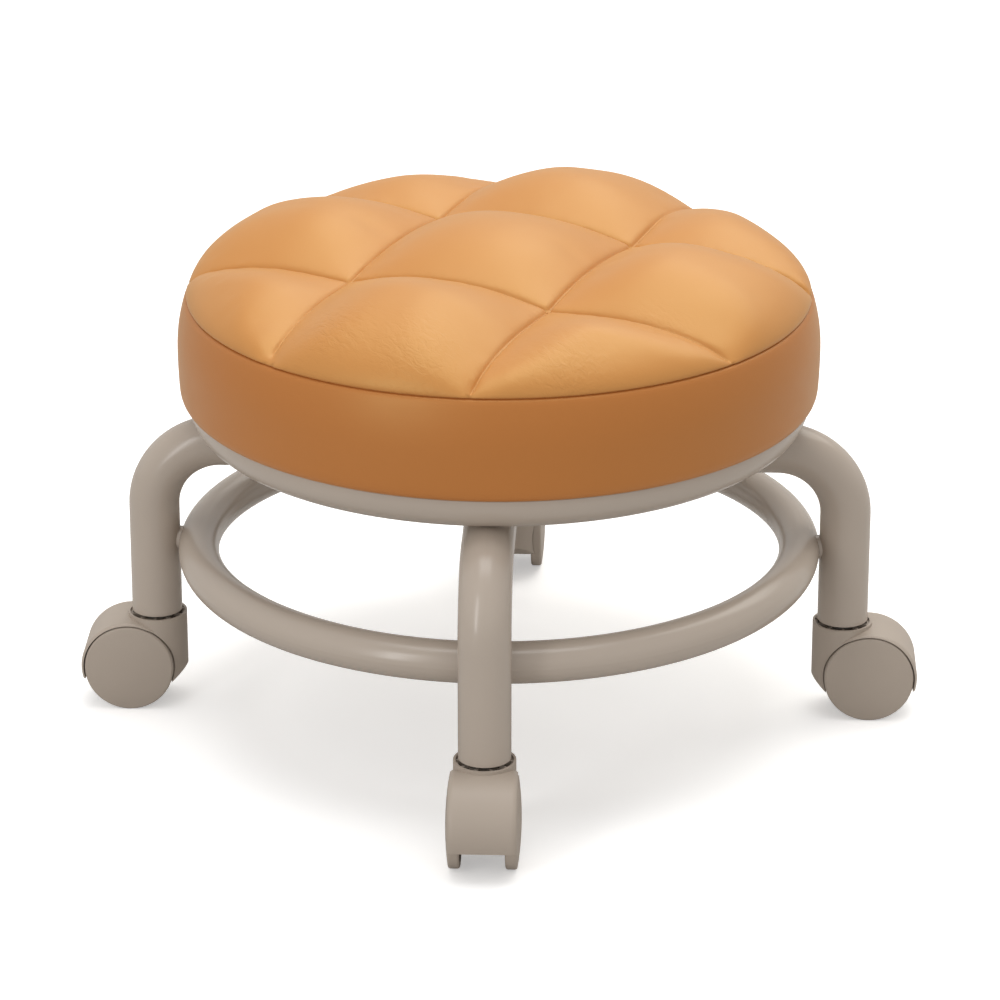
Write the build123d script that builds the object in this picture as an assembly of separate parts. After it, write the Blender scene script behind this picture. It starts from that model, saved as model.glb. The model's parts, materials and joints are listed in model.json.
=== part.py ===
"""Low round pedicure stool: upholstered seat on a four-leg tube frame with swivel casters.

Frame of the part: origin on the floor at the centre of the stool, +Z up, the legs on the X and Y
axes. Everything is in millimetres. Each piece is written as its own STEP file under parts/.
"""
from math import cos, radians, sin
import os

from build123d import *

os.makedirs("parts", exist_ok=True)

# ---- frame of bent tube -----------------------------------------------------------------------
TUBE_R = 12.5            # leg tube, 25 mm outside
TUBE_WALL = 1.5
LEG_RADIUS = 171.6       # from the stool's centre to a leg's axis
LEG_END_Z = 49.0         # lower end of the leg tube
BEND_R = 34.0            # centreline radius of the leg's bend
PAN_FLOOR_Z = 152.0      # underside of the seat pan, which rests on the arms
ARM_Z = PAN_FLOOR_Z - TUBE_R
RING_TUBE_R = 10.0       # foot ring tube, 20 mm outside
RING_WALL = 1.2
RING_RADIUS = LEG_RADIUS - TUBE_R - RING_TUBE_R
RING_Z = 87.0
HUB_R = 25.0             # centre sleeve that the arms are coped onto
HUB_WALL = 2.0
HUB_LOW_Z = 122.0
WELD_R = 6.0             # size of a weld bead between ring and leg
WELD_SKIN = 0.02         # hair gap that keeps a bead from sharing its tubes' curved faces
HUB_BEAD = 1.8           # thickness of the bead round an arm's end
VENT_R = 2.0             # vent hole that a closed ring needs for welding and paint

# ---- seat: pan, board, foam and cover ---------------------------------------------------------
PAN_WALL = 1.2
PAN_CORNER_R = 15.0      # outer radius of the pan's rolled corner
PAN_CORNER_C = 137.3     # distance of that corner's centre from the axis
PAN_RIM_Z = 169.0
CORNER_Z = PAN_FLOOR_Z + PAN_CORNER_R
COVER = 1.2              # cover material
BOARD_CORNER_R = 12.0
BOARD_LOW_Z = CORNER_Z - BOARD_CORNER_R
BOARD_TOP_Z = 170.0
BOARD_R = PAN_CORNER_C + BOARD_CORNER_R
BAND_LOW_R = 153.2       # seat's side, from the pan's rim to the seam
BAND_LOW_Z = 169.3
BAND_MID_R = 156.8
BAND_MID_Z = 195.0
SEAM_R = 152.6
SEAM_Z = 219.5
SEAT_TOP_Z = 252.0
CROWN_ARC = 89.5         # degrees of the crown's ellipse, which ends in a small flat at the middle
FOLD_IN_R = 118.0        # inner edge of the cover folded under the board
STAPLES = 24
STAPLE_R = 126.0
STAPLE_CROWN, STAPLE_WIRE, STAPLE_WIDTH, STAPLE_LEG = 10.0, 0.6, 1.2, 6.0
TUFT_PITCH = 103.7       # square grid of four tufts
TUFT_TURN = -21.7        # turn of that grid about Z, in degrees
TUFT_X = -3.1            # the grid sits a little off the middle
TIE_R, TIE_DISC_R, TIE_TOGGLE_R = 1.2, 6.0, 8.0
TIE_TOP_Z = 229.0        # under the cover, which is drawn down at the tufts
TIE_TOGGLE_H = 2.5

# ---- seat bolts, M6 ---------------------------------------------------------------------------
BOLT_PCD = 160.0
BOLT_R, BOLT_HOLE_R = 3.0, 3.3
BOLT_HEAD_AF, BOLT_HEAD_H = 10.0, 4.0
SADDLE_R, SADDLE_THICK = 7.0, 2.4
SPRING_R, SPRING_BORE_R, SPRING_H, SPRING_SLIT = 5.5, 3.1, 1.4, 0.8
TNUT_BARREL_R, TNUT_FLANGE_R, TNUT_FLANGE_H, TNUT_BARREL_H = 4.0, 9.0, 1.2, 10.0

# ---- twin-wheel casters -----------------------------------------------------------------------
WHEEL_R = 22.2
WHEEL_IN, WHEEL_RIM, WHEEL_DOME = 10.6, 16.2, 17.7      # distances from the caster's mid-plane
WHEEL_BORE_R = 2.56
TRAIL = 13.5             # from the swivel axis to the axle
AXLE_R, AXLE_HALF = 2.5, 15.0
FENDER_R = 24.0
HOOD_HALF = 16.5
HOOD_EDGE_R = 3.0
WELL_R = 22.8            # the hood's wheel wells
WEB_HALF = 10.0          # web of the hood between the wheels
COLLAR_R, COLLAR_TOP_Z = 14.8, 47.8
COLLAR_IN_R, COLLAR_STEP_Z = 13.6, 46.4
GROOVE_IN_R, GROOVE_OUT_R, GROOVE_LOW_Z = 9.2, 12.4, 41.0
COLLAR_RIBS, RIB_WIDE, RIB_TOP_Z = 10, 1.2, 47.3
HOOD_LOW_Z = 13.2        # lowest edge of the hood, at its inner side
FENDER_END_Z = 16.2      # where the hood ends at its outer side
CHAMFER_TOP_Z = 19.6     # top of the slanted inner corner
CHAMFER_IN_X = -7.3
STEM_R, STEM_TOP_Z = 5.5, 74.0
FLANGE_R, FLANGE_LOW_Z = 8.5, 46.4
PIN_R, PIN_LOW_Z, PIN_BORE_R = 4.0, 26.0, 4.05
PIN_BORE_LOW_Z = 24.5
CLIP_Z, CLIP_H, CLIP_IN_R, CLIP_OUT_R, CLIP_ROOM = 29.0, 1.2, 3.25, 5.2, 0.4
SOCKET_TOP_Z = 77.0
GRIP_Z, GRIP_H, GRIP_DEPTH = 64.0, 6.0, 0.8

DIRECTIONS = {"right": 0, "back": 90, "left": 180, "front": 270}


def save(node, shape):
    """Write one piece, or one group of identical pieces, to its STEP file."""
    export_step(shape, f"parts/{node}.step")


def about_axis(shape, turn, radius=0.0, z=0.0):
    """Place a shape made at the origin on the spoke at `turn` degrees, pointing outwards."""
    return Rot(0, 0, turn) * Pos(radius, 0, z) * shape


def post(radius, low, high, x=0.0, y=0.0):
    """Upright cylinder between two heights."""
    return Pos(x, y, (low + high) / 2) * Cylinder(radius, high - low)


def sleeve(outer, inner, low, high):
    """Upright ring between two heights."""
    return post(outer, low, high) - post(inner, low, high)


def spun(lines):
    """Solid of revolution about Z of a closed outline drawn in the XZ plane."""
    return revolve(Plane.XZ * make_face(lines), axis=Axis.Z)


def group(shapes):
    """Several separate solids kept together in one node."""
    return Compound([solid for shape in shapes for solid in shape.solids()])


# ---- frame ------------------------------------------------------------------------------------
def leg_path(inner_end):
    """Centreline of one leg: down from the arm's inner end, round the bend, to the floor end."""
    corners = [(inner_end, 0, ARM_Z), (LEG_RADIUS, 0, ARM_Z), (LEG_RADIUS, 0, LEG_END_Z)]
    return FilletPolyline(*corners, radius=BEND_R)


def leg_bar(radius):
    """Full round bar along a leg's centreline."""
    path = leg_path(HUB_R / 2)
    return sweep(Plane(origin=path @ 0, z_dir=path % 0) * Circle(radius), path=path)


def leg():
    tube = leg_bar(TUBE_R) - leg_bar(TUBE_R - TUBE_WALL)
    tube -= post(HUB_R, HUB_LOW_Z, PAN_FLOOR_Z + 1)
    return tube - post(BOLT_HOLE_R, HUB_LOW_Z, PAN_FLOOR_Z + 1, x=BOLT_PCD / 2)


def foot_ring():
    hollow = Torus(RING_RADIUS, RING_TUBE_R - RING_WALL)
    ring = Pos(0, 0, RING_Z) * (Torus(RING_RADIUS, RING_TUBE_R) - hollow)
    vent = post(VENT_R, RING_Z - 2 * RING_TUBE_R, RING_Z, x=RING_RADIUS)
    return ring - about_axis(vent, 45)


def ring_weld():
    """Bead that fills the gap round the point where the ring touches a leg."""
    bridge = Pos((RING_RADIUS + LEG_RADIUS) / 2, 0, RING_Z) * Rot(0, 90, 0) * Cylinder(
        WELD_R, LEG_RADIUS - RING_RADIUS)
    bridge -= Pos(0, 0, RING_Z) * Torus(RING_RADIUS, RING_TUBE_R + WELD_SKIN)
    return bridge - leg_bar(TUBE_R + WELD_SKIN)


def frame_hub():
    return sleeve(HUB_R, HUB_R - HUB_WALL, HUB_LOW_Z, PAN_FLOOR_Z)


def hub_weld():
    """Bead round an arm where it meets the hub, trimmed under the pan."""
    arm_turn = Pos(HUB_R, 0, ARM_Z) * Rot(0, 90, 0)
    length = 3 * HUB_BEAD
    bead = arm_turn * (Cylinder(TUBE_R + HUB_BEAD, length) - Cylinder(TUBE_R + WELD_SKIN, length))
    bead -= post(HUB_R + WELD_SKIN, HUB_LOW_Z - TUBE_R, PAN_FLOOR_Z + TUBE_R)
    return bead & Pos(HUB_R, 0, ARM_Z - HUB_BEAD) * Box(4 * length, 4 * TUBE_R, 2 * TUBE_R)


# ---- seat -------------------------------------------------------------------------------------
def seat_pan():
    """Pressed dish: flat floor, round corner, short upright rim."""
    inner_r = PAN_CORNER_R - PAN_WALL
    centre = (PAN_CORNER_C, CORNER_Z)
    rim_out, rim_in = PAN_CORNER_C + PAN_CORNER_R, PAN_CORNER_C + inner_r
    outline = [
        Line((0, PAN_FLOOR_Z), (PAN_CORNER_C, PAN_FLOOR_Z)),
        CenterArc(centre, PAN_CORNER_R, 270, 90),
        Line((rim_out, CORNER_Z), (rim_out, PAN_RIM_Z)),
        Line((rim_out, PAN_RIM_Z), (rim_in, PAN_RIM_Z)),
        Line((rim_in, PAN_RIM_Z), (rim_in, CORNER_Z)),
        CenterArc(centre, inner_r, 0, -90),
        Line((PAN_CORNER_C, PAN_FLOOR_Z + PAN_WALL), (0, PAN_FLOOR_Z + PAN_WALL)),
        Line((0, PAN_FLOOR_Z + PAN_WALL), (0, PAN_FLOOR_Z)),
    ]
    pan = spun(outline)
    for turn in DIRECTIONS.values():
        pan -= about_axis(post(BOLT_HOLE_R, HUB_LOW_Z, PAN_RIM_Z, x=BOLT_PCD / 2), turn)
    return pan


def cushion(inset):
    """The whole upholstered shape, moved inwards by `inset` all over."""
    low = BOARD_LOW_Z - COVER + inset
    corner_r = BOARD_CORNER_R + COVER - inset
    wall = PAN_CORNER_C + corner_r
    step = BAND_LOW_Z + inset
    crown = EllipticalCenterArc((0, SEAM_Z), SEAM_R - inset, SEAT_TOP_Z - SEAM_Z - inset, 0,
                                arc_size=CROWN_ARC)
    apex = (0, (crown @ 1).Y)
    outline = [
        Line((0, low), (PAN_CORNER_C, low)),
        CenterArc((PAN_CORNER_C, CORNER_Z), corner_r, 270, 90),
        Line((wall, CORNER_Z), (wall, step)),
        Line((wall, step), (BAND_LOW_R - inset, step)),
        ThreePointArc((BAND_LOW_R - inset, step), (BAND_MID_R - inset, BAND_MID_Z),
                      (SEAM_R - inset, SEAM_Z)),
        crown,
        Line(crown @ 1, apex),
        Line(apex, (0, low)),
    ]
    return spun(outline)


def tuft_places():
    """The four points of the tuft grid."""
    half = TUFT_PITCH / 2
    turn = radians(TUFT_TURN)
    corners = [(half, half), (-half, half), (-half, -half), (half, -half)]
    return [(TUFT_X + x * cos(turn) - y * sin(turn), x * sin(turn) + y * cos(turn))
            for x, y in corners]


def tuft_tie():
    """Cord through foam and board, with a disc under the cover and a toggle under the board."""
    cord = post(TIE_R, BOARD_LOW_Z, TIE_TOP_Z)
    disc = post(TIE_DISC_R, TIE_TOP_Z - 1, TIE_TOP_Z)
    return cord + disc + post(TIE_TOGGLE_R, BOARD_LOW_Z, BOARD_LOW_Z + TIE_TOGGLE_H)


def staple():
    """Wire staple, crown down, legs up through the folded cover into the board."""
    crown_top = BOARD_LOW_Z - COVER
    crown = Pos(0, 0, crown_top - STAPLE_WIRE / 2) * Box(STAPLE_WIDTH, STAPLE_CROWN, STAPLE_WIRE)
    for side in (-1, 1):
        y = side * (STAPLE_CROWN - STAPLE_WIRE) / 2
        crown += Pos(0, y, crown_top + STAPLE_LEG / 2) * Box(STAPLE_WIDTH, STAPLE_WIRE, STAPLE_LEG)
    return crown


def t_nut():
    body = post(TNUT_BARREL_R, BOARD_TOP_Z - TNUT_BARREL_H, BOARD_TOP_Z)
    body += post(TNUT_FLANGE_R, BOARD_TOP_Z, BOARD_TOP_Z + TNUT_FLANGE_H)
    return body - post(BOLT_R, BOARD_LOW_Z, BOARD_TOP_Z + TNUT_FLANGE_H)


def seat_board(staples, ties):
    board = spun([
        Line((0, BOARD_LOW_Z), (PAN_CORNER_C, BOARD_LOW_Z)),
        CenterArc((PAN_CORNER_C, CORNER_Z), BOARD_CORNER_R, 270, 90),
        Line((BOARD_R, CORNER_Z), (BOARD_R, BOARD_TOP_Z)),
        Line((BOARD_R, BOARD_TOP_Z), (0, BOARD_TOP_Z)),
        Line((0, BOARD_TOP_Z), (0, BOARD_LOW_Z)),
    ])
    for turn in DIRECTIONS.values():
        hole = post(BOLT_HOLE_R, BOARD_LOW_Z, BOARD_TOP_Z)
        hole += post(TNUT_BARREL_R, BOARD_TOP_Z - TNUT_BARREL_H, BOARD_TOP_Z)
        board -= about_axis(hole, turn, BOLT_PCD / 2)
    return board - ties - staples


# ---- bolts ------------------------------------------------------------------------------------
SADDLE_LOW_Z = PAN_FLOOR_Z - 2 * TUBE_R - SADDLE_THICK
SPRING_LOW_Z = SADDLE_LOW_Z - SPRING_H
HEAD_LOW_Z = SPRING_LOW_Z - BOLT_HEAD_H


def frame_bolt():
    head = Pos(0, 0, HEAD_LOW_Z) * extrude(RegularPolygon(BOLT_HEAD_AF / 2, 6, major_radius=False),
                                           BOLT_HEAD_H)
    return head + post(BOLT_R, SPRING_LOW_Z, BOARD_TOP_Z + TNUT_FLANGE_H)


def spring_washer():
    ring = sleeve(SPRING_R, SPRING_BORE_R, SPRING_LOW_Z, SADDLE_LOW_Z)
    return ring - Pos(SPRING_R, 0, SPRING_LOW_Z) * Box(SPRING_R, SPRING_SLIT, 4 * SPRING_H)


def saddle_washer():
    """Washer with a hollow top that fits the underside of an arm."""
    block = sleeve(SADDLE_R, BOLT_HOLE_R, SADDLE_LOW_Z, ARM_Z - TUBE_R / 2)
    return block - Pos(0, 0, ARM_Z) * Rot(0, 90, 0) * Cylinder(TUBE_R, 4 * SADDLE_R)


# ---- casters, made at the origin with the swivel axis on Z and the axle towards +X --------------
def cross_bar(radius, near, far):
    """Cylinder on the axle's line, between two distances from the caster's mid-plane."""
    length = far - near
    return Pos(TRAIL, (near + far) / 2, WHEEL_R) * Rot(90, 0, 0) * Cylinder(radius, length)


def hood_plan():
    """Outline from above: round at the collar, then straight sides past the wheels."""
    side = Polyline((0, COLLAR_R), (TRAIL / 2, HOOD_HALF), (2 * FENDER_R, HOOD_HALF),
                    (2 * FENDER_R, -HOOD_HALF), (TRAIL / 2, -HOOD_HALF), (0, -COLLAR_R), close=True)
    return extrude(make_face(side) + Circle(COLLAR_R), 2 * FENDER_R)


def hood_below():
    """Everything under the hood's lower edge."""
    slope = (CHAMFER_TOP_Z - HOOD_LOW_Z) / (CHAMFER_IN_X + COLLAR_R)
    reach = -2 * COLLAR_R
    edge = Polyline(
        (reach, HOOD_LOW_Z + slope * (CHAMFER_IN_X - reach)), (CHAMFER_IN_X, HOOD_LOW_Z),
        (TRAIL + WHEEL_R / 2, HOOD_LOW_Z), (TRAIL + WHEEL_R, FENDER_END_Z),
        (TRAIL + 2 * WHEEL_R, FENDER_END_Z), (TRAIL + 2 * WHEEL_R, -WHEEL_R), (reach, -WHEEL_R),
        close=True)
    return extrude(Plane.XZ * make_face(edge), 2 * HOOD_HALF, both=True)


def collar_recess():
    """Recess inside the collar's rim, with a deeper groove and ribs out to the rim."""
    recess = post(COLLAR_IN_R, COLLAR_STEP_Z, COLLAR_TOP_Z + 1)
    recess += sleeve(GROOVE_OUT_R, GROOVE_IN_R, GROOVE_LOW_Z, COLLAR_STEP_Z)
    rib = Pos((GROOVE_IN_R + COLLAR_R) / 2, 0, (GROOVE_LOW_Z + RIB_TOP_Z) / 2) * Box(
        COLLAR_R - GROOVE_IN_R, RIB_WIDE, RIB_TOP_Z - GROOVE_LOW_Z)
    for k in range(COLLAR_RIBS):
        recess -= about_axis(rib, (k + 0.5) * 360 / COLLAR_RIBS)
    return recess + post(GROOVE_IN_R, FLANGE_LOW_Z - 0.4, COLLAR_STEP_Z)


def caster_hood():
    fender = cross_bar(FENDER_R, -HOOD_HALF, HOOD_HALF)
    fender = fillet(fender.edges().filter_by(GeomType.CIRCLE), HOOD_EDGE_R)
    body = (fender & hood_plan()) + post(COLLAR_R, 0, COLLAR_TOP_Z)
    body -= hood_below()
    for side in (-1, 1):
        well = sorted((side * (WEB_HALF + 0.2), side * 2 * HOOD_HALF))
        body -= cross_bar(WELL_R, *well)
    body -= cross_bar(AXLE_R, -HOOD_HALF, HOOD_HALF)
    body -= post(PIN_BORE_R, PIN_BORE_LOW_Z, COLLAR_TOP_Z)
    body -= post(CLIP_OUT_R + CLIP_ROOM, CLIP_Z - CLIP_ROOM, CLIP_Z + CLIP_H + CLIP_ROOM)
    return body - collar_recess()


def caster_axle():
    return cross_bar(AXLE_R, -AXLE_HALF, AXLE_HALF)


def caster_wheel(side):
    """One wheel: rounded tread, domed outer face, blind bore, hollow inner face."""
    edge = 1.2
    dome_flat = 1.5
    bore_end = AXLE_HALF + 0.4
    hub_r, rim_in, hollow = 6.0, 19.4, 14.0
    outline = [
        Line((WHEEL_BORE_R, WHEEL_IN), (hub_r, WHEEL_IN)),
        Line((hub_r, WHEEL_IN), (hub_r, hollow)),
        Line((hub_r, hollow), (rim_in, hollow)),
        Line((rim_in, hollow), (rim_in, WHEEL_IN)),
        Line((rim_in, WHEEL_IN), (WHEEL_R - edge, WHEEL_IN)),
        ThreePointArc((WHEEL_R - edge, WHEEL_IN), (WHEEL_R - 0.3 * edge, WHEEL_IN + 0.3 * edge),
                      (WHEEL_R, WHEEL_IN + edge)),
        Line((WHEEL_R, WHEEL_IN + edge), (WHEEL_R, WHEEL_RIM - edge)),
        ThreePointArc((WHEEL_R, WHEEL_RIM - edge), (WHEEL_R - 0.3 * edge, WHEEL_RIM - 0.3 * edge),
                      (WHEEL_R - edge, WHEEL_RIM)),
        ThreePointArc((WHEEL_R - edge, WHEEL_RIM),
                      (WHEEL_R / 2, WHEEL_RIM + 0.75 * (WHEEL_DOME - WHEEL_RIM)),
                      (dome_flat, WHEEL_DOME)),
        Line((dome_flat, WHEEL_DOME), (0, WHEEL_DOME)),
        Line((0, WHEEL_DOME), (0, bore_end)),
        Line((0, bore_end), (WHEEL_BORE_R, bore_end)),
        Line((WHEEL_BORE_R, bore_end), (WHEEL_BORE_R, WHEEL_IN)),
    ]
    wheel = spun(outline)
    return Pos(TRAIL, 0, WHEEL_R) * Rot(-90 * side, 0, 0) * wheel


def caster_stem():
    """Steel stem: shank up into the leg's socket, flange, swivel pin down into the hood."""
    stem = post(STEM_R, LEG_END_Z, STEM_TOP_Z) + post(FLANGE_R, FLANGE_LOW_Z, LEG_END_Z)
    stem += post(PIN_R, PIN_LOW_Z, FLANGE_LOW_Z)
    stem -= sleeve(STEM_R, STEM_R - GRIP_DEPTH, GRIP_Z, GRIP_Z + GRIP_H)
    return stem - sleeve(PIN_R, CLIP_IN_R, CLIP_Z, CLIP_Z + CLIP_H)


def split_ring(outer, inner, low, high, slit):
    """Ring with a gap, as a snap ring has."""
    return sleeve(outer, inner, low, high) - Pos(outer, 0, (low + high) / 2) * Box(
        outer * 2, slit, high - low)


def stem_socket():
    """Plastic plug in the leg's end that grips the stem."""
    return sleeve(TUBE_R - TUBE_WALL, STEM_R, LEG_END_Z, SOCKET_TOP_Z)


def on_each_leg(shape, radius=0.0):
    """The same piece on all four spokes, as one group."""
    return group([about_axis(shape, turn, radius) for turn in DIRECTIONS.values()])


def write_frame():
    one_leg = leg()
    for place, turn in DIRECTIONS.items():
        save(f"leg_{place}", about_axis(one_leg, turn))
    save("foot_ring", foot_ring())
    save("ring_welds", on_each_leg(ring_weld()))
    save("frame_hub", frame_hub())
    save("hub_welds", on_each_leg(hub_weld()))


def write_seat():
    staples = group([about_axis(staple(), (k + 0.5) * 360 / STAPLES, STAPLE_R) for k in range(STAPLES)])
    ties = group([Pos(x, y, 0) * tuft_tie() for x, y in tuft_places()])
    t_nuts = on_each_leg(t_nut(), BOLT_PCD / 2)
    bolts = on_each_leg(frame_bolt(), BOLT_PCD / 2)
    board = seat_board(staples, ties)
    shell = cushion(0) - cushion(COVER)
    above_seam = post(2 * SEAM_R, SEAM_Z, 2 * SEAM_Z)
    band = shell - above_seam - staples - post(FOLD_IN_R, BOARD_LOW_Z - 2 * COVER, BOARD_LOW_Z + COVER)
    whole_board = post(BOARD_R, BOARD_LOW_Z - COVER, BOARD_TOP_Z)
    save("seat_pan", seat_pan())
    save("seat_board", board)
    save("foam_pad", cushion(COVER) - whole_board - ties - t_nuts - bolts)
    save("seat_cover_top", shell & above_seam)
    save("seat_cover_band", band)
    save("cover_staples", staples)
    save("tuft_ties", ties)
    save("t_nuts", t_nuts)
    save("frame_bolts", bolts)
    save("spring_washers", on_each_leg(spring_washer(), BOLT_PCD / 2))
    save("saddle_washers", on_each_leg(saddle_washer(), BOLT_PCD / 2))


def write_casters():
    pieces = {
        "stem_socket": stem_socket(),
        "caster_stem": caster_stem(),
        "caster_hood": caster_hood(),
        "caster_axle": caster_axle(),
        "wheel_a": caster_wheel(-1),
        "wheel_b": caster_wheel(1),
    }
    for place, turn in DIRECTIONS.items():
        for name, piece in pieces.items():
            save(f"{name}_{place}", about_axis(piece, turn, LEG_RADIUS))
    clip = split_ring(CLIP_OUT_R, CLIP_IN_R, CLIP_Z, CLIP_Z + CLIP_H, CLIP_IN_R)
    grip = split_ring(STEM_R, STEM_R - GRIP_DEPTH, GRIP_Z, GRIP_Z + GRIP_H, GRIP_DEPTH)
    save("stem_clips", on_each_leg(clip, LEG_RADIUS))
    save("stem_grip_rings", on_each_leg(grip, LEG_RADIUS))


write_frame()
write_seat()
write_casters()
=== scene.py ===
"""Looks of the pedicure stool: tufted leather cushion, painted tube frame and moulded casters."""
import json
import math

import bmesh
import bpy
import numpy as np
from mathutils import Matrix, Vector
from mathutils.geometry import delaunay_2d_cdt


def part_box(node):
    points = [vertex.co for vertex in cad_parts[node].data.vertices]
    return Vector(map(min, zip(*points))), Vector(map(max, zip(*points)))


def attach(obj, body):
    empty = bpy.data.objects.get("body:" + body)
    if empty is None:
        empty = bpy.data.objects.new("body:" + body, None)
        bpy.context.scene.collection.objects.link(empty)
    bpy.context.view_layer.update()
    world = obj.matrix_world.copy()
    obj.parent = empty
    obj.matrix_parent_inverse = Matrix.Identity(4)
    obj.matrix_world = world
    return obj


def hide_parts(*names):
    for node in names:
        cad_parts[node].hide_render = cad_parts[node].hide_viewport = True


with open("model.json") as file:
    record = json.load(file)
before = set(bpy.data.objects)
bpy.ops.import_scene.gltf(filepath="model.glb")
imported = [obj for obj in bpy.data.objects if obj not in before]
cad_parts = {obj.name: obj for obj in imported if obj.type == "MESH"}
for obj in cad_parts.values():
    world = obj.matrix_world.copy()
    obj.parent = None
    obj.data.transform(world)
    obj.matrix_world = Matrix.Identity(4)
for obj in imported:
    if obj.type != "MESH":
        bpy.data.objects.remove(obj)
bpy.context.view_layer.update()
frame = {"nodes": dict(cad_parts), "record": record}

MM = 0.001

# ---- cushion, in metres -------------------------------------------------------------------------
PAN_RIM_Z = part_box("seat_pan")[1].z
BOARD_LOW_Z, BOARD_TOP_Z = (corner.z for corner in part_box("seat_board"))
BOARD_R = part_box("seat_board")[1].x
BOARD_CORNER = 12.0 * MM
COVER = BOARD_LOW_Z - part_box("seat_cover_band")[0].z      # thickness of the cover
FOLD_IN_R = 118.0 * MM              # inner edge of the cover folded under the board
HAIR = 0.03 * MM                    # gap to the board
SEAM_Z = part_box("seat_cover_band")[1].z
SEAM_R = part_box("seat_cover_top")[1].x
BAND_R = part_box("seat_cover_band")[1].x
TIES_LOW, TIES_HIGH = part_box("tuft_ties")
TUFT_CENTRE = Vector(((TIES_LOW.x + TIES_HIGH.x) / 2, (TIES_LOW.y + TIES_HIGH.y) / 2, 0))
TUFT_PITCH = 103.7 * MM
TUFT_TURN = math.radians(-21.7)
TUFT_Z = SEAM_Z + 13.3 * MM         # height of a tuft point
QUILTING = {        # rise of a line between its tufts, then towards the seam at its two ends
    ("cross", -1): (8.8 * MM, 3.0 * MM, 2.5 * MM),      # in front, left end and right end
    ("cross", 1): (9.6 * MM, 7.5 * MM, 6.5 * MM),       # at the back
    ("deep", -1): (4.8 * MM, 1.0 * MM, 4.5 * MM),       # on the left, front end and back end
    ("deep", 1): (4.8 * MM, 1.0 * MM, 5.5 * MM),        # on the right
}
LINE_SWELL = 2.2                    # how soon a line has its full rise beyond its tufts
LINE_SQUARE = 3.4                   # how flat it stays before it falls to the seam
LINE_SHOULDER = 0.72                # how round it is where it falls
LINE_GROOVE = 1.7 * MM              # how far the stitching pulls a line in
SEAM_TUCK = 1.0                     # how much more it is pulled in close to the seam
TUCK_START = 10                     # power of the radius: a higher one starts it nearer the seam
GROOVE_FADE = 40                    # the groove runs out over the last 1/40 of the radius
CROWN = 34.5 * MM                   # height of the puffed panels over the seam
CROWN_SQUARE = 4.3                  # how flat the crown stays before it falls to the seam
CROWN_SHOULDER = 0.6                # how round it is where it falls
PILLOW_REACH = 50.0 * MM            # distance from a quilting line at which a panel is full
PINCH = 0.5                         # share of that distance lost at the seam
PINCH_START = 6                     # power of the radius: a higher one starts it nearer the seam
PILLOW_EDGE = 0.95                  # how steeply a panel rises from its line; less is steeper
CORNER_FULL = 0.82                  # the four corner panels are filled less
RIM_POINTS = 240                    # points round the seam
CLOTH_GRID = 4.0 * MM               # spacing of the cover's mesh
LINE_ROW = 1.1 * MM                 # rows of points beside each quilting line
RIM_ROWS = [d * MM for d in (0.5, 1.4, 2.8, 4.8, 7.6, 11.2)]     # and rings inside the seam
SEWN_RINGS = 3                      # rings that the seam holds still
MARGIN = 0.1 * MM                   # for comparing places in the mesh
RELAX_ROUNDS = 3500
SEAM_LIP = 0.7 * MM                 # roll of the side band under the seam
SEAM_DEPTH = 2.2 * MM
BAND_BULGE = 0.2 * MM               # past the CAD band
LOW_BULGE_LOSS = 0.22               # share of the bulge lost at the band's lower edge
BAND_GAP = 0.3 * MM                 # between the band and the pan's rim
BAND_TUCK_H, BAND_TUCK_IN = 4.5 * MM, 3.6 * MM      # turn of the band in under itself
BAND_STEPS = 12
STITCH_LIFT = 0.3 * MM              # height of a tuft's stitch over the bottom of its groove
CLOTH_FRAMES = 20
CLOTH_CAP = 4.0 * MM                # how far the simulation may move a point
SLACK_PLACES = [                    # where the cover is a little slack and its grain wrinkles
    (Vector((-0.072, -0.114)), 0.018),
    (Vector((-0.032, -0.133)), 0.020),
    (Vector((0.036, -0.138)), 0.022),
    (Vector((0.076, -0.092)), 0.015),
]


# ---- shared node groups -------------------------------------------------------------------------
def new_group(name, inputs, outputs):
    """Empty shader node group with named sockets: inputs are (name, type, default)."""
    group = bpy.data.node_groups.new(name, "ShaderNodeTree")
    for label, kind, default in inputs:
        socket = group.interface.new_socket(name=label, in_out="INPUT", socket_type=kind)
        if default is not None:
            socket.default_value = default
    for label, kind in outputs:
        group.interface.new_socket(name=label, in_out="OUTPUT", socket_type=kind)
    return group, group.nodes.new("NodeGroupInput"), group.nodes.new("NodeGroupOutput")


def noise_node(tree, vector, scale, detail=2.0, roughness=0.5):
    """Noise texture with its sizes set; scale may be a number or an output socket."""
    node = tree.nodes.new("ShaderNodeTexNoise")
    node.inputs["Detail"].default_value = detail
    node.inputs["Roughness"].default_value = roughness
    tree.links.new(vector, node.inputs["Vector"])
    if isinstance(scale, (int, float)):
        node.inputs["Scale"].default_value = scale
    else:
        tree.links.new(scale, node.inputs["Scale"])
    return node


def math_node(tree, operation, a, b=None):
    """Math node on sockets or numbers."""
    node = tree.nodes.new("ShaderNodeMath")
    node.operation = operation
    for socket, value in zip(node.inputs, (a, b)):
        if value is None:
            continue
        if isinstance(value, (int, float)):
            socket.default_value = value
        else:
            tree.links.new(value, socket)
    return node.outputs[0]


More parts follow.
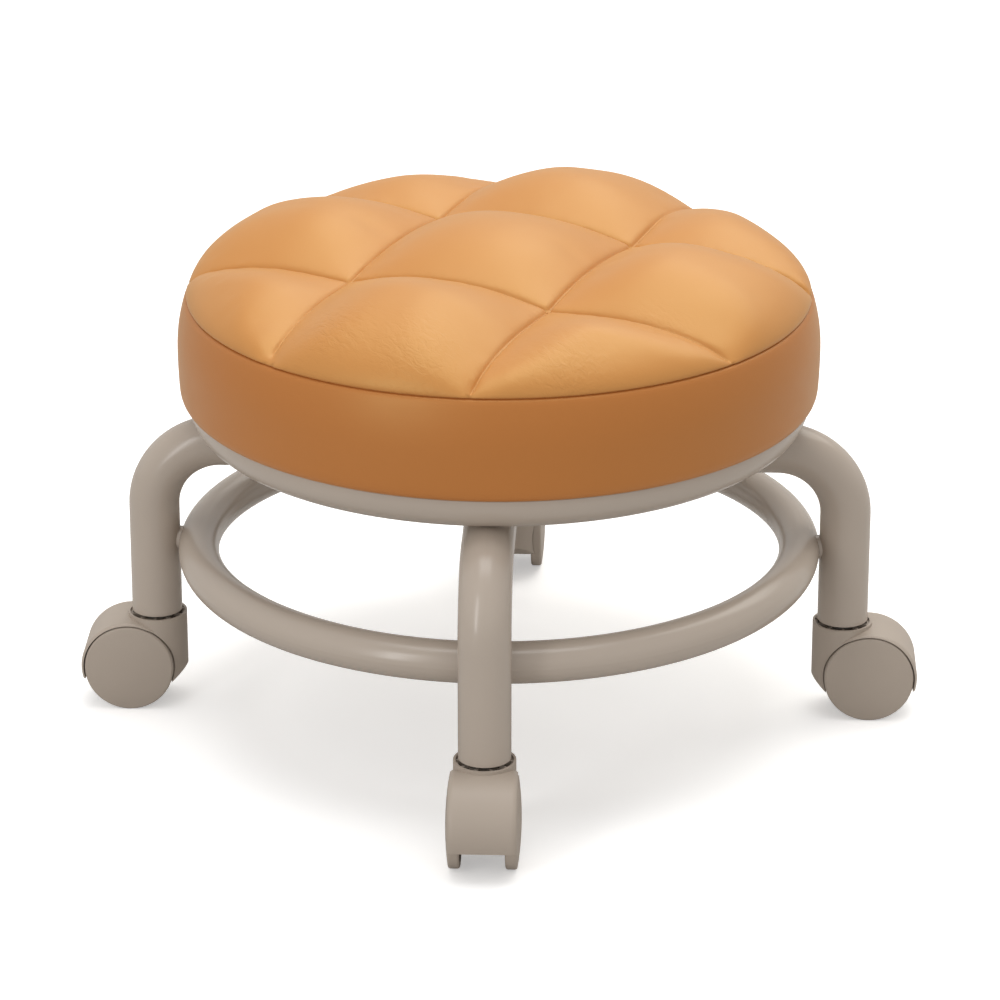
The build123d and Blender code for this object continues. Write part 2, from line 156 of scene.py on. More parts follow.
def tone_group():
    """Slow drift of a colour between a darker and a lighter tone of itself."""
    group, entry, leave = new_group(
        "tone_drift",
        [("Color", "NodeSocketColor", (0.5, 0.5, 0.5, 1)), ("Scale", "NodeSocketFloat", 20.0),
         ("Amount", "NodeSocketFloat", 0.1)],
        [("Color", "NodeSocketColor")])
    links = group.links
    where = group.nodes.new("ShaderNodeTexCoord")
    drift = noise_node(group, where.outputs["Object"], entry.outputs["Scale"], detail=3.0)
    centred = math_node(group, "SUBTRACT", drift.outputs["Fac"], 0.5)
    swing = math_node(group, "MULTIPLY", centred, entry.outputs["Amount"])
    gain = math_node(group, "MULTIPLY_ADD", swing, 2.0)
    gain.node.inputs[2].default_value = 1.0
    scaled = group.nodes.new("ShaderNodeVectorMath")
    scaled.operation = "SCALE"
    links.new(entry.outputs["Color"], scaled.inputs[0])
    links.new(gain, scaled.inputs["Scale"])
    links.new(scaled.outputs["Vector"], leave.inputs["Color"])
    return group


def grain_group():
    """Height of a fine surface grain: small bumps over a slower swell."""
    group, entry, leave = new_group(
        "surface_grain",
        [("Fine", "NodeSocketFloat", 900.0), ("Coarse", "NodeSocketFloat", 90.0),
         ("Swell", "NodeSocketFloat", 0.4)],
        [("Height", "NodeSocketFloat"), ("Mask", "NodeSocketFloat")])
    where = group.nodes.new("ShaderNodeTexCoord")
    fine = noise_node(group, where.outputs["Object"], entry.outputs["Fine"], detail=2.0)
    coarse = noise_node(group, where.outputs["Object"], entry.outputs["Coarse"], detail=3.0)
    swell = math_node(group, "MULTIPLY", coarse.outputs["Fac"], entry.outputs["Swell"])
    height = math_node(group, "ADD", fine.outputs["Fac"], swell)
    group.links.new(height, leave.inputs["Height"])
    group.links.new(coarse.outputs["Fac"], leave.inputs["Mask"])
    return group


TONE_DRIFT = tone_group()
SURFACE_GRAIN = grain_group()


def use_group(tree, group, **values):
    """Node of a shared group with its named inputs set."""
    node = tree.nodes.new("ShaderNodeGroup")
    node.node_tree = group
    for label, value in values.items():
        node.inputs[label].default_value = value
    return node


def roughness_range(tree, mask, low, high):
    """Roughness that changes over the surface with a mask from 0 to 1."""
    node = tree.nodes.new("ShaderNodeMapRange")
    node.inputs["To Min"].default_value = low
    node.inputs["To Max"].default_value = high
    tree.links.new(mask, node.inputs["Value"])
    return node.outputs["Result"]


def coated(name, color, roughness, grain, bump, tone=(14.0, 0.05), metallic=0.0, specular=0.5):
    """Material with a drifting tone, a grain in the bump and a roughness that varies with it."""
    material = bpy.data.materials.new(name)
    material.use_nodes = True
    tree = material.node_tree
    shader = tree.nodes["Principled BSDF"]
    shader.inputs["Metallic"].default_value = metallic
    shader.inputs["Specular IOR Level"].default_value = specular
    drift = use_group(tree, TONE_DRIFT, Color=(*color, 1), Scale=tone[0], Amount=tone[1])
    texture = use_group(tree, SURFACE_GRAIN, Fine=grain[0], Coarse=grain[1], Swell=grain[2])
    relief = tree.nodes.new("ShaderNodeBump")
    relief.inputs["Strength"].default_value = bump[0]
    relief.inputs["Distance"].default_value = bump[1]
    tree.links.new(drift.outputs["Color"], shader.inputs["Base Color"])
    tree.links.new(texture.outputs["Height"], relief.inputs["Height"])
    tree.links.new(relief.outputs["Normal"], shader.inputs["Normal"])
    gloss = roughness_range(tree, texture.outputs["Mask"], *roughness)
    tree.links.new(gloss, shader.inputs["Roughness"])
    return material


# ---- materials of this stool --------------------------------------------------------------------
LIT_TOP_COLOR = (0.545, 0.223, 0.060)       # the top panels' leather with a painted highlight: lighter and yellower than the band
SHADED_BAND_COLOR = (0.465, 0.150, 0.033)      # the same leather with painted shade on the side band: darker and redder
WRINKLE_TURN = math.radians(-52)        # direction of the fine wrinkles
WRINKLE_STRETCH = 2.4                   # how much longer than wide they are


def leather_material():
    """Smooth orange-tan synthetic leather: pebbled grain, fine wrinkles where it is slack, and
    painted light: a lighter, yellower top above the seam and a darker, redder band below it.
    """
    material = coated("seat_leather", LIT_TOP_COLOR, (0.38, 0.46), (1500.0, 60.0, 0.5),
                      (0.10, 0.0002), tone=(9.0, 0.03), specular=0.8)
    tree = material.node_tree
    shader = tree.nodes["Principled BSDF"]
    where = tree.nodes.new("ShaderNodeTexCoord")
    height = tree.nodes.new("ShaderNodeSeparateXYZ")
    tree.links.new(where.outputs["Object"], height.inputs["Vector"])
    # painted light on one leather: lighter and yellower above the seam as a painted highlight,
    # darker and redder on the side band as painted shade
    lit_top_shaded_band = tree.nodes.new("ShaderNodeMix")
    lit_top_shaded_band.data_type = "RGBA"
    lit_top_shaded_band.inputs["A"].default_value = (*SHADED_BAND_COLOR, 1)
    lit_top_shaded_band.inputs["B"].default_value = (*LIT_TOP_COLOR, 1)
    above_seam = math_node(tree, "GREATER_THAN", height.outputs["Z"], SEAM_Z)
    tree.links.new(above_seam, lit_top_shaded_band.inputs["Factor"])
    drift = next(n for n in tree.nodes if n.type == "GROUP" and n.node_tree == TONE_DRIFT)
    tree.links.new(lit_top_shaded_band.outputs["Result"], drift.inputs["Color"])
    cells = tree.nodes.new("ShaderNodeTexVoronoi")
    cells.feature = "DISTANCE_TO_EDGE"
    cells.inputs["Scale"].default_value = 850.0
    warp = noise_node(tree, where.outputs["Object"], 300.0, detail=2.0)
    bent = tree.nodes.new("ShaderNodeVectorMath")
    bent.operation = "MULTIPLY_ADD"
    bent.inputs[1].default_value = (0.002, 0.002, 0.002)
    tree.links.new(warp.outputs["Color"], bent.inputs[0])
    tree.links.new(where.outputs["Object"], bent.inputs[2])
    tree.links.new(bent.outputs["Vector"], cells.inputs["Vector"])
    pebble = tree.nodes.new("ShaderNodeBump")
    pebble.inputs["Strength"].default_value = 0.18
    pebble.inputs["Distance"].default_value = 0.00015
    tree.links.new(cells.outputs["Distance"], pebble.inputs["Height"])

    stretched = tree.nodes.new("ShaderNodeMapping")
    stretched.vector_type = "TEXTURE"
    stretched.inputs["Rotation"].default_value = (0, 0, WRINKLE_TURN)
    stretched.inputs["Scale"].default_value = (WRINKLE_STRETCH, 1.0, 1.0)
    tree.links.new(where.outputs["Object"], stretched.inputs["Vector"])
    creases = noise_node(tree, stretched.outputs["Vector"], 330.0, detail=4.0, roughness=0.6)
    creases.inputs["Distortion"].default_value = 0.6
    slack = tree.nodes.new("ShaderNodeAttribute")
    slack.attribute_name = "slack"
    depth = math_node(tree, "MULTIPLY", creases.outputs["Fac"], slack.outputs["Fac"])
    wrinkle = tree.nodes.new("ShaderNodeBump")
    wrinkle.inputs["Strength"].default_value = 0.55
    wrinkle.inputs["Distance"].default_value = 0.0012
    tree.links.new(depth, wrinkle.inputs["Height"])
    tree.links.new(pebble.outputs["Normal"], wrinkle.inputs["Normal"])
    grain = next(n for n in tree.nodes if n.type == "BUMP" and n not in (pebble, wrinkle))
    tree.links.new(wrinkle.outputs["Normal"], grain.inputs["Normal"])
    shader.inputs["Specular Tint"].default_value = (1.0, 1.0, 0.5, 1)
    shader.inputs["Sheen Weight"].default_value = 0.1
    shader.inputs["Sheen Roughness"].default_value = 0.45
    shader.inputs["Sheen Tint"].default_value = (1.0, 0.95, 0.4, 1)
    return material


MATERIALS = {
    "seat_leather": leather_material(),
    "frame_paint": coated("frame_paint", (0.46, 0.392, 0.33), (0.20, 0.28), (420.0, 60.0, 0.8),
                          (0.04, 0.0002), tone=(12.0, 0.03), specular=0.6),
    "caster_plastic": coated("caster_plastic", (0.43, 0.365, 0.305), (0.42, 0.52),
                             (1400.0, 80.0, 0.3), (0.10, 0.0001), tone=(30.0, 0.03)),
    "zinc_steel": coated("zinc_steel", (0.62, 0.61, 0.58), (0.28, 0.45), (1800.0, 200.0, 0.5),
                         (0.10, 0.0001), tone=(60.0, 0.08), metallic=1.0),
    "nylon": coated("nylon", (0.035, 0.026, 0.02), (0.45, 0.6), (1200.0, 150.0, 0.4),
                    (0.1, 0.0001), tone=(40.0, 0.1)),
    "plywood": coated("plywood", (0.62, 0.44, 0.26), (0.55, 0.8), (600.0, 40.0, 1.0),
                      (0.3, 0.0004), tone=(25.0, 0.25)),
    "foam": coated("foam", (0.83, 0.76, 0.55), (0.85, 0.95), (900.0, 120.0, 0.5),
                   (0.5, 0.0004), tone=(30.0, 0.1)),
    "seam_thread": coated("seam_thread", (0.55, 0.26, 0.08), (0.6, 0.75), (3000.0, 300.0, 0.5),
                          (0.3, 0.0001), tone=(80.0, 0.2)),
}


def set_material(obj, name):
    """Gives the object one finished material in place of what it had."""
    obj.data.materials.clear()
    obj.data.materials.append(MATERIALS[name])


def paint_frame_nodes():
    """Every CAD node gets the finished material of its slot."""
    for part in frame["record"]["subparts"]:
        set_material(frame["nodes"][part["node"]], part["material_slot"])


# ---- mesh helpers -------------------------------------------------------------------------------
def finished_object(name, mesh, material):
    """Smooth shaded object in the scene with a finished material."""
    obj = bpy.data.objects.new(name, mesh)
    bpy.context.scene.collection.objects.link(obj)
    set_material(obj, material)
    for polygon in mesh.polygons:
        polygon.use_smooth = True
    return obj


def applied(obj):
    """Applies the object's modifiers into a plain mesh of its own."""
    bpy.context.view_layer.update()
    graph = bpy.context.evaluated_depsgraph_get()
    mesh = bpy.data.meshes.new_from_object(obj.evaluated_get(graph))
    obj.modifiers.clear()
    old = obj.data
    obj.data = mesh
    bpy.data.meshes.remove(old)
    return obj


# ---- cushion ------------------------------------------------------------------------------------
def to_grid(x, y):
    """Coordinates along the quilting lines, from the middle of the tufts."""
    dx, dy = x - TUFT_CENTRE.x, y - TUFT_CENTRE.y
    c, s = math.cos(TUFT_TURN), math.sin(TUFT_TURN)
    return dx * c + dy * s, dy * c - dx * s


def from_grid(u, v):
    """Place of a point given along the quilting lines."""
    c, s = math.cos(TUFT_TURN), math.sin(TUFT_TURN)
    return TUFT_CENTRE.x + u * c - v * s, TUFT_CENTRE.y + u * s + v * c


def on_line(along, offset, deep):
    """Place on a quilting line: a cross line has v = offset, a deep one has u = offset."""
    return from_grid(offset, along) if deep else from_grid(along, offset)


def line_span(offset, deep):
    """Where a quilting line enters and leaves the seam circle, measured along it."""
    centre = to_grid(0.0, 0.0)
    along, across = centre[::-1] if deep else centre
    half = math.sqrt(SEAM_R ** 2 - (offset - across) ** 2)
    return along - half, along + half


def line_height(s, low, high, quilting):
    """Height of a quilting line at distance s along it; it ends on the seam at low and high."""
    half = TUFT_PITCH / 2
    middle_rise, low_rise, high_rise = quilting
    if abs(s) <= half:
        return TUFT_Z + middle_rise * (1 - (s / half) ** 2)
    end, rise = (high, high_rise) if s > 0 else (low, low_rise)
    t = min(1.0, (abs(s) - half) / (abs(end) - half))
    crown = (TUFT_Z - SEAM_Z) + rise * min(1.0, LINE_SWELL * t)
    return SEAM_Z + crown * (1 - t ** LINE_SQUARE) ** LINE_SHOULDER


def pillow(x, y):
    """How full the cover is at a place: 0 on a quilting line, 1 in the middle of a panel."""
    full = 1.0
    u, v = to_grid(x, y)
    reach = PILLOW_REACH * (1 - PINCH * (math.hypot(x, y) / SEAM_R) ** PINCH_START)
    for along in (u, v):
        gap = min(1.0, abs(abs(along) - TUFT_PITCH / 2) / reach)
        full *= 1 - (1 - gap) ** 2
    corner = min(abs(u), abs(v)) > TUFT_PITCH / 2
    return full ** PILLOW_EDGE * (CORNER_FULL if corner else 1.0)


def ring_of_points(radius):
    """Points of one ring round the seat, each in line with a point of the seam."""
    angles = (2 * math.pi * k / RIM_POINTS for k in range(RIM_POINTS))
    return [(radius * math.cos(a), radius * math.sin(a)) for a in angles]


def cover_points():
    """Points of the top cover in plan, its fixed edges, and each point's kind.

    A rim point is on the seam, a line point on a quilting line, a row point beside either,
    and a cloth point is free to move between them.
    """
    half = TUFT_PITCH / 2
    points, edges, kinds = [], [], []

    def put(place, kind):
        points.append(place)
        kinds.append(kind)
        return len(points) - 1

    rim = [put(place, "rim") for place in ring_of_points(SEAM_R)]
    edges += list(zip(rim, rim[1:] + rim[:1]))
    steps = round(TUFT_PITCH / CLOTH_GRID)
    step = TUFT_PITCH / steps
    tufts = {}
    for deep in (False, True):
        for offset in (-half, half):
            low, high = line_span(offset, deep)
            first = math.ceil((low + half + step / 2) / step)
            last = math.floor((high + half - step / 2) / step)
            line = []
            for k in range(first, last + 1):
                s = -half + k * step
                tuft = (offset > 0, k > 0) if deep else (k > 0, offset > 0)
                if k in (0, steps) and tuft in tufts:
                    line.append(tufts[tuft])
                    continue
                line.append(put(on_line(s, offset, deep), "line"))
                if k in (0, steps):
                    tufts[tuft] = line[-1]
            edges += list(zip(line, line[1:]))

    sides = (-LINE_ROW, LINE_ROW)
    beside = [from_grid(u + du, v + dv)
              for u in (-half, half) for v in (-half, half) for du in sides for dv in sides]
    reach = math.ceil(SEAM_R / step)
    beside += [on_line(-half + k * step, offset + side, deep)
               for deep in (False, True) for offset in (-half, half) for side in sides
               for k in range(-reach, steps + reach + 1)]
    spacing = step * math.sqrt(3) / 2
    reach = math.ceil(2 * SEAM_R / spacing)
    between = [((i + 0.5 * (j % 2)) * step, j * spacing)
               for j in range(-reach, reach + 1) for i in range(-reach, reach + 1)]
    inner = SEAM_R - RIM_ROWS[-1] - 0.7 * step
    between = [place for place in between if math.hypot(*place) <= inner]
    for depth in RIM_ROWS:
        between += ring_of_points(SEAM_R - depth)

    sewn = RIM_ROWS[SEWN_RINGS - 1] + MARGIN
    for places, clear, nearest in ((beside, LINE_ROW * 0.95, RIM_ROWS[1]),
                                   (between, LINE_ROW + 0.5 * step, RIM_ROWS[0] * 0.9)):
        for place in places:
            u, v = to_grid(*place)
            depth = SEAM_R - math.hypot(*place)
            if min(abs(abs(u) - half), abs(abs(v) - half)) >= clear and depth >= nearest:
                put(place, "row" if places is beside or depth < sewn else "cloth")
    return points, edges, kinds


def both_ways(edges):
    """The two ends of every edge, in both directions."""
    edges = np.array(edges)
    return np.concatenate([edges, edges[:, ::-1]]).T


def relax(values, fixed, edges):
    """Stretches a membrane: each free point settles at the mean of its neighbours."""
    starts, ends = both_ways(edges)
    degree = np.bincount(starts, minlength=len(values))
    free = ~fixed
    for _ in range(RELAX_ROUNDS):
        total = np.bincount(starts, weights=values[ends], minlength=len(values))
        values[free] = (total / degree)[free]
    return values


def sewn_height(x, y):
    """Height of the quilting line at a place on it."""
    half = TUFT_PITCH / 2
    u, v = to_grid(x, y)
    deep = abs(abs(v) - half) >= abs(abs(u) - half)
    along, across = (v, u) if deep else (u, v)
    side = math.copysign(1, across)
    low, high = line_span(side * half, deep)
    return line_height(along, low, high, QUILTING["deep" if deep else "cross", side])


def cover_mesh():
    """The top cover as a mesh: panels puffed up between the seam and the quilting lines."""
    points, edges, kinds = cover_points()
    places = [Vector(p) for p in points]
    flat, edges, faces, origins, _, _ = delaunay_2d_cdt(places, edges, [], 0, 1e-7)
    kind = [kinds[o[0]] if o else "cloth" for o in origins]
    plan = np.array([tuple(p) for p in flat])
    fixed = np.array([k in ("rim", "line") for k in kind])
    base = np.full(len(plan), TUFT_Z)
    for index, (x, y) in enumerate(plan):
        if kind[index] == "rim":
            base[index] = SEAM_Z
        elif kind[index] == "line":
            base[index] = sewn_height(x, y)
    base = relax(base, fixed, edges)
    fullness = np.array([pillow(x, y) for x, y in plan])
    radius = np.minimum(np.hypot(plan[:, 0], plan[:, 1]) / SEAM_R, 1.0)
    crown = SEAM_Z + CROWN * (1 - radius ** CROWN_SQUARE) ** CROWN_SHOULDER
    height = np.where(fixed, base, base + (crown - base) * fullness)
    lines = np.array([k == "line" for k in kind])
    outward = radius[lines]
    tuck = LINE_GROOVE * (1 + SEAM_TUCK * outward ** TUCK_START)
    height[lines] -= tuck * np.minimum(1.0, GROOVE_FADE * (1 - outward))
    mesh = bpy.data.meshes.new("cushion_cover")
    mesh.from_pydata([(x, y, z) for (x, y), z in zip(plan, height)], [], faces)
    mesh.update()
    return mesh, kind


def smoothed(move, mesh, pinned, rounds=4):
    """Evens out each point's movement with its neighbours', so that no row stands out."""
    starts, ends = both_ways([e.vertices[:] for e in mesh.edges])
    degree = np.bincount(starts, minlength=len(move))[:, None]
    free = ~np.array(pinned)
    for _ in range(rounds):
        total = np.stack([np.bincount(starts, weights=move[ends, k], minlength=len(move))
                          for k in range(3)], axis=1)
        move[free] = (0.5 * move + 0.5 * total / degree)[free]
    return move


def settle_cloth(mesh, kind):
    """Lets the cover puff and pucker between its stitched lines, then caps the movement."""
    start = np.array([v.co[:] for v in mesh.vertices])
    obj = bpy.data.objects.new("cover_cloth", mesh.copy())
    bpy.context.scene.collection.objects.link(obj)
    pins = obj.vertex_groups.new(name="stitched")
    pins.add([i for i, k in enumerate(kind) if k != "cloth"], 1.0, "REPLACE")
    cloth = obj.modifiers.new("cover", "CLOTH")
    settings = cloth.settings
    settings.quality = 6
    settings.mass = 0.25
    settings.tension_stiffness = 25.0
    settings.compression_stiffness = 25.0
    settings.shear_stiffness = 12.0
    settings.bending_stiffness = 6.0
    settings.vertex_group_mass = "stitched"
    settings.use_pressure = True
    settings.uniform_pressure_force = 1.4
    settings.shrink_min = -0.004
    settings.effector_weights.gravity = 0.0
    cloth.collision_settings.use_collision = False
    scene = bpy.context.scene
    cloth.point_cache.frame_start = 1
    cloth.point_cache.frame_end = CLOTH_FRAMES
    for frame_number in range(1, CLOTH_FRAMES + 1):
        scene.frame_set(frame_number)
    graph = bpy.context.evaluated_depsgraph_get()
    settled = bpy.data.meshes.new_from_object(obj.evaluated_get(graph))
    end = np.array([v.co[:] for v in settled.vertices])
    scene.frame_set(1)
    bpy.data.objects.remove(obj)
    bpy.data.meshes.remove(settled)
    move = smoothed(end - start, mesh, [k != "cloth" for k in kind])
    length = np.linalg.norm(move, axis=1, keepdims=True)
    move *= np.minimum(1.0, CLOTH_CAP / np.maximum(length, 1e-9))
    for vertex, place in zip(mesh.vertices, start + move):
        vertex.co = place


def band_profile():
    """Radius and height from the seam down the side, round the board and back over its top."""
    low = PAN_RIM_Z + BAND_GAP
    rings = [(SEAM_R - SEAM_DEPTH, SEAM_Z - 0.2 * MM),
             (SEAM_R - 0.35 * SEAM_DEPTH, SEAM_Z - 0.75 * SEAM_LIP)]

    widest = BAND_R + BAND_BULGE
    belly = low + 0.5 * (SEAM_Z - low)
    top = SEAM_Z - 1.6 * SEAM_LIP
    for k in range(BAND_STEPS + 1):
        z = top + k / BAND_STEPS * (low + BAND_TUCK_H - top)
        away = (z - belly) / (SEAM_Z - belly)
        drop = (widest - SEAM_R) * (away ** 2 if away > 0 else LOW_BULGE_LOSS * away ** 2)
        rings.append((widest - drop, z))

    tuck_r, tuck_z = rings[-1]
    for angle in (30, 60, 90):
        a = math.radians(angle)
        rings.append((tuck_r - BAND_TUCK_IN * (1 - math.cos(a)),
                      tuck_z - BAND_TUCK_H * math.sin(a)))

    arc_z = BOARD_LOW_Z + BOARD_CORNER
    arc_r = BOARD_R - BOARD_CORNER
    rings.append((BOARD_R + COVER, low + 0.1 * MM))
    outer, inner = [], []
    for angle in (0, 22, 45, 68, 90):
        a = math.radians(angle)
        for wrap, corner in ((outer, BOARD_CORNER + COVER), (inner, BOARD_CORNER + HAIR)):
            wrap.append((arc_r + corner * math.cos(a), arc_z - corner * math.sin(a)))
    rings += outer
    rings += [(FOLD_IN_R, BOARD_LOW_Z - COVER), (FOLD_IN_R, BOARD_LOW_Z - HAIR)]
    rings += inner[::-1]
    rings.append((BOARD_R + HAIR, BOARD_TOP_Z + HAIR))
    return rings


def mark_creases(shape, kind):
    """Keeps the quilting lines sharp under the smoothing."""
    crease = shape.edges.layers.float.new("crease_edge")
    half = TUFT_PITCH / 2
    for edge in shape.edges:
        if all(kind[v.index] == "line" for v in edge.verts):
            middle = (edge.verts[0].co + edge.verts[1].co) / 2
            u, v = to_grid(*middle.xy)
            if min(abs(abs(u) - half), abs(abs(v) - half)) < 2 * MARGIN:
                edge[crease] = 1.0
    return crease


def mark_slack(shape):
    """Writes how slack the cover is at each point, which the leather's wrinkles follow."""
    slack = shape.verts.layers.float.new("slack")
    for vertex in shape.verts:
        vertex[slack] = max(math.exp(-((vertex.co.xy - place).length / size) ** 2)
                            for place, size in SLACK_PLACES)


def square_up(shape, kind):
    """Joins the triangles beside the seam and the quilting lines into even quads."""
    inner = SEAM_R - RIM_ROWS[-1] - MARGIN
    zone = [f for f in shape.faces
            if all(kind[v.index] != "cloth" for v in f.verts)
            or all(v.co.xy.length > inner for v in f.verts)]
    bmesh.ops.join_triangles(shape, faces=zone, angle_face_threshold=1.0,
                             angle_shape_threshold=1.2)


def make_cushion():
    """One closed cushion: tufted cover, seam groove, side band and flat underside."""
    mesh, kind = cover_mesh()
    settle_cloth(mesh, kind)
    shape = bmesh.new()
    shape.from_mesh(mesh)
    mark_slack(shape)
    crease = mark_creases(shape, kind)
    square_up(shape, kind)

    rim = sorted((v for v in shape.verts if kind[v.index] == "rim"),
                 key=lambda v: math.atan2(v.co.y, v.co.x))
    loops = [rim]
    for radius, z in band_profile():
        loops.append([shape.verts.new((v.co.x / SEAM_R * radius, v.co.y / SEAM_R * radius, z))
                      for v in rim])
    centre = shape.verts.new((0, 0, loops[-1][0].co.z))
    for k in range(len(rim)):
        j = (k + 1) % len(rim)
        for upper, lower in zip(loops, loops[1:]):
            shape.faces.new((upper[k], lower[k], lower[j], upper[j]))
        shape.faces.new((loops[-1][k], centre, loops[-1][j]))
        shape.edges.get((loops[-1][k], loops[-1][j]))[crease] = 1.0
    bmesh.ops.recalc_face_normals(shape, faces=shape.faces)
    body = bpy.data.meshes.new("seat_cushion")
    shape.to_mesh(body)
    shape.free()
    cushion = finished_object("seat_cushion", body, "seat_leather")
    smooth = cushion.modifiers.new("smooth", "SUBSURF")
    smooth.levels = 1
    smooth.render_levels = 1
    applied(cushion)
    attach(cushion, "root")
    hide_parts("seat_cover_top", "seat_cover_band", "foam_pad")


def stitch_nodes():
    """Geometry nodes that lay a short crossed stitch of thread on each point of a mesh.

    Returns the group and its input sockets by name.
    """
    group = bpy.data.node_groups.new("crossed_stitch", "GeometryNodeTree")
    group.interface.new_socket(name="Geometry", in_out="INPUT", socket_type="NodeSocketGeometry")
    sizes = {}
    for label, value in (("Length", 0.0042), ("Thickness", 0.0005), ("Turn", 0.0)):
        sizes[label] = group.interface.new_socket(name=label, in_out="INPUT",
                                                  socket_type="NodeSocketFloat")
        sizes[label].default_value = value
    thread = group.interface.new_socket(name="Thread", in_out="INPUT",
                                        socket_type="NodeSocketMaterial")
    group.interface.new_socket(name="Geometry", in_out="OUTPUT", socket_type="NodeSocketGeometry")
    nodes, links = group.nodes, group.links
    entry, leave = nodes.new("NodeGroupInput"), nodes.new("NodeGroupOutput")
    arc = nodes.new("GeometryNodeCurveQuadraticBezier")
    arc.inputs["Resolution"].default_value = 10
    half_length = math_node(group, "MULTIPLY", entry.outputs["Length"], 0.5)
    for label, factor, lift in (("Start", -1.0, -1.6), ("Middle", 0.0, 2.4), ("End", 1.0, -1.6)):
        place = nodes.new("ShaderNodeCombineXYZ")
        links.new(math_node(group, "MULTIPLY", half_length, factor), place.inputs["X"])
        height = math_node(group, "MULTIPLY", entry.outputs["Thickness"], lift)
        links.new(height, place.inputs["Z"])
        links.new(place.outputs["Vector"], arc.inputs[label])
    profile = nodes.new("GeometryNodeCurvePrimitiveCircle")
    profile.inputs["Resolution"].default_value = 10
    links.new(entry.outputs["Thickness"], profile.inputs["Radius"])
    bar = nodes.new("GeometryNodeCurveToMesh")
    bar.inputs["Fill Caps"].default_value = True
    links.new(arc.outputs["Curve"], bar.inputs["Curve"])
    links.new(profile.outputs["Curve"], bar.inputs["Profile Curve"])
    joined = nodes.new("GeometryNodeJoinGeometry")
    for quarter in (0.25, 0.75):        # of half a turn: the two bars cross at a right angle
        laid = nodes.new("GeometryNodeInstanceOnPoints")
        turn = nodes.new("ShaderNodeCombineXYZ")
        angle = math_node(group, "ADD", entry.outputs["Turn"], quarter * math.pi)
        links.new(angle, turn.inputs["Z"])
        links.new(entry.outputs["Geometry"], laid.inputs["Points"])
        links.new(bar.outputs["Mesh"], laid.inputs["Instance"])
        links.new(turn.outputs["Vector"], laid.inputs["Rotation"])
        links.new(laid.outputs["Instances"], joined.inputs["Geometry"])
    real = nodes.new("GeometryNodeRealizeInstances")
    paint = nodes.new("GeometryNodeSetMaterial")
    links.new(joined.outputs["Geometry"], real.inputs["Geometry"])
    links.new(real.outputs["Geometry"], paint.inputs["Geometry"])
    links.new(entry.outputs["Thread"], paint.inputs["Material"])
    links.new(paint.outputs["Geometry"], leave.inputs["Geometry"])
    return group, {**sizes, "Thread": thread}


def make_tuft_stitches():
    """A small crossed stitch in the bottom of each tuft."""
    half = TUFT_PITCH / 2
    z = TUFT_Z - LINE_GROOVE + STITCH_LIFT
    places = [(*from_grid(u, v), z) for u in (-half, half) for v in (-half, half)]
    mesh = bpy.data.meshes.new("tuft_stitches")
    mesh.from_pydata(places, [], [])
    stitches = bpy.data.objects.new("tuft_stitches", mesh)
    bpy.context.scene.collection.objects.link(stitches)
    group, sockets = stitch_nodes()
    layout = stitches.modifiers.new("stitches", "NODES")
    layout.node_group = group
    layout[sockets["Turn"].identifier] = TUFT_TURN
    layout[sockets["Thread"].identifier] = MATERIALS["seam_thread"]
    applied(stitches)
    for polygon in stitches.data.polygons:
        polygon.use_smooth = True
    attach(stitches, "root")


# ---- stage --------------------------------------------------------------------------------------
def make_camera():
    """Long lens a little above the seat, in front."""
    aim = Vector((0, 0, 0.120))
    azimuth, elevation, distance = math.radians(2.23), math.radians(21.42), 2.2652
    back = Vector((math.sin(azimuth) * math.cos(elevation),
                   -math.cos(azimuth) * math.cos(elevation), math.sin(elevation)))
    camera = bpy.data.objects.new("camera", bpy.data.cameras.new("camera"))
    bpy.context.scene.collection.objects.link(camera)
    camera.location = aim + distance * back
    camera.rotation_mode = "QUATERNION"
    camera.rotation_quaternion = (-back).to_track_quat("-Z", "Y")
    camera.data.sensor_width = 36.0
    camera.data.lens = 164.7
    camera.data.shift_x = 0.001
    camera.data.shift_y = -0.0196
    bpy.context.scene.camera = camera


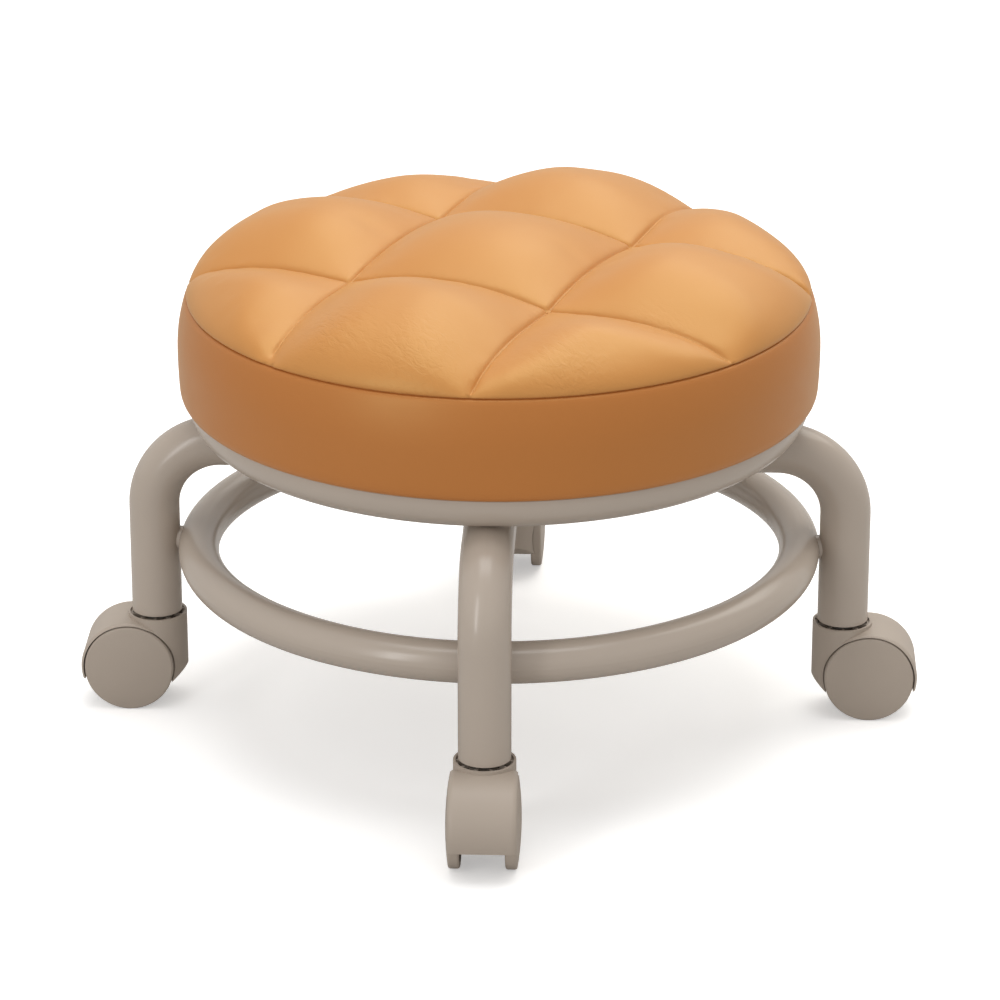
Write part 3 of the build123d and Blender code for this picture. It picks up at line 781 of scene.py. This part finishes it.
def area_light(name, place, size, power, color=(1, 1, 1), target=(0, 0, 0.15)):
    """Soft rectangular light that faces its target."""
    light = bpy.data.lights.new(name, "AREA")
    light.shape = "RECTANGLE"
    light.size, light.size_y = size
    light.energy = power
    light.color = color
    obj = bpy.data.objects.new(name, light)
    bpy.context.scene.collection.objects.link(obj)
    obj.location = place
    obj.rotation_mode = "QUATERNION"
    obj.rotation_quaternion = (Vector(target) - Vector(place)).to_track_quat("-Z", "Y")


def make_lights():
    """Overhead and back softboxes, a narrow strip for the tubes' highlights, and a pale room."""
    area_light("overhead", (0.0, 0.0, 1.9), (1.4, 1.4), 13.0)
    area_light("back_softbox", (0.65, 1.05, 1.7), (1.9, 1.3), 14.0, color=(1, 0.97, 0.9))
    area_light("left_strip", (-1.25, -1.9, 0.95), (0.35, 1.5), 9.0)
    world = bpy.data.worlds.new("studio")
    bpy.context.scene.world = world
    world.use_nodes = True
    background = world.node_tree.nodes["Background"]
    background.inputs["Color"].default_value = (1.0, 0.985, 0.965, 1)
    background.inputs["Strength"].default_value = 0.70


def make_floor():
    """Large pale floor that stays nearly white, and bounces only part of the light."""
    size = 12.0
    mesh = bpy.data.meshes.new("floor")
    corners = [(-size, -size, 0), (size, -size, 0), (size, size, 0), (-size, size, 0)]
    mesh.from_pydata(corners, [], [(0, 1, 2, 3)])
    floor = bpy.data.objects.new("floor", mesh)
    bpy.context.scene.collection.objects.link(floor)
    material = bpy.data.materials.new("floor")
    material.use_nodes = True
    tree = material.node_tree
    shader = tree.nodes["Principled BSDF"]
    shader.inputs["Roughness"].default_value = 0.9
    shader.inputs["Emission Color"].default_value = (1, 1, 1, 1)
    path = tree.nodes.new("ShaderNodeLightPath")
    tint = tree.nodes.new("ShaderNodeMix")
    tint.data_type = "RGBA"
    tint.inputs["A"].default_value = (0.55, 0.54, 0.53, 1)
    tint.inputs["B"].default_value = (0.95, 0.95, 0.95, 1)
    tree.links.new(path.outputs["Is Camera Ray"], tint.inputs["Factor"])
    tree.links.new(tint.outputs["Result"], shader.inputs["Base Color"])
    glow = math_node(tree, "MULTIPLY", path.outputs["Is Camera Ray"], 0.35)
    tree.links.new(glow, shader.inputs["Emission Strength"])
    mesh.materials.append(material)


make_camera()
make_lights()
make_floor()
bpy.context.scene.view_settings.view_transform = "Standard"
paint_frame_nodes()
make_cushion()
make_tuft_stitches()
